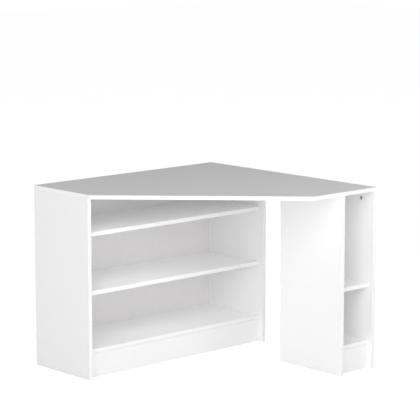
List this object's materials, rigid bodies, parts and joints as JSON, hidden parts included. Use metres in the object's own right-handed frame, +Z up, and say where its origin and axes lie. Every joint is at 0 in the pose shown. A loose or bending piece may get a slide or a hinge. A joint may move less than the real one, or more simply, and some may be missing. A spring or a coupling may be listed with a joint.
{
  "type": "corner desk",
  "caption": "Five-sided corner desk of white coated boards: desktop with a diagonal front on a low open bookcase and a narrow open pedestal.",
  "frame": {"origin": "on the floor, below the middle of the square that the desktop is cut from", "axes": "+Z up; +X to the right along the back wall, towards the room's corner; +Y towards the back wall. The diagonal front faces -X and -Y, the bookcase opens to -Y and the pedestal stands at +X, -Y."},
  "size_m": [0.98, 0.98, 0.75],
  "materials": {
    "white_board": "white melamine on chipboard, satin",
    "white_edging": "white edging strip, satin",
    "hardboard": "hardboard, white lacquer inside, bare brown behind",
    "lacquered_hardboard": "hardboard, white lacquer on both faces",
    "zinc": "die-cast zinc, dull",
    "steel": "bright zinc-plated steel",
    "beech": "bare beech"
  },
  "bodies": {
    "root": {"desktop": "white_board", "desktop_edging_back": "white_edging", "desktop_edging_left_end": "white_edging", "desktop_edging_diagonal": "white_edging", "desktop_edging_front_end": "white_edging", "desktop_edging_side": "white_edging", "bookcase_end_panel": "white_board", "bookcase_corner_panel": "white_board", "bookcase_panel_edging": "white_edging", "bookcase_upper_shelf": "white_board", "bookcase_middle_shelf": "white_board", "bookcase_bottom_shelf": "white_board", "bookcase_shelf_edging": "white_edging", "bookcase_plinth": "white_board", "bookcase_back": "hardboard", "pedestal_knee_panel": "white_board", "pedestal_wall_panel": "white_board", "pedestal_panel_edging": "white_edging", "pedestal_middle_shelf": "white_board", "pedestal_bottom_shelf": "white_board", "pedestal_shelf_edging": "white_edging", "pedestal_plinth": "white_board", "pedestal_back": "lacquered_hardboard", "desktop_cam_locks": "zinc", "desktop_cam_bolts": "steel", "desktop_dowels": "beech", "bookcase_shelf_cam_locks": "zinc", "bookcase_shelf_cam_bolts": "steel", "bookcase_shelf_dowels": "beech", "pedestal_shelf_cam_locks": "zinc", "pedestal_shelf_cam_bolts": "steel", "pedestal_shelf_dowels": "beech", "bookcase_plinth_cam_locks": "zinc", "bookcase_plinth_cam_bolts": "steel", "bookcase_plinth_dowels": "beech", "pedestal_plinth_cam_locks": "zinc", "pedestal_plinth_cam_bolts": "steel", "pedestal_plinth_dowels": "beech", "bookcase_back_nails": "steel", "pedestal_back_nails": "steel"}
  },
  "joints": []
}
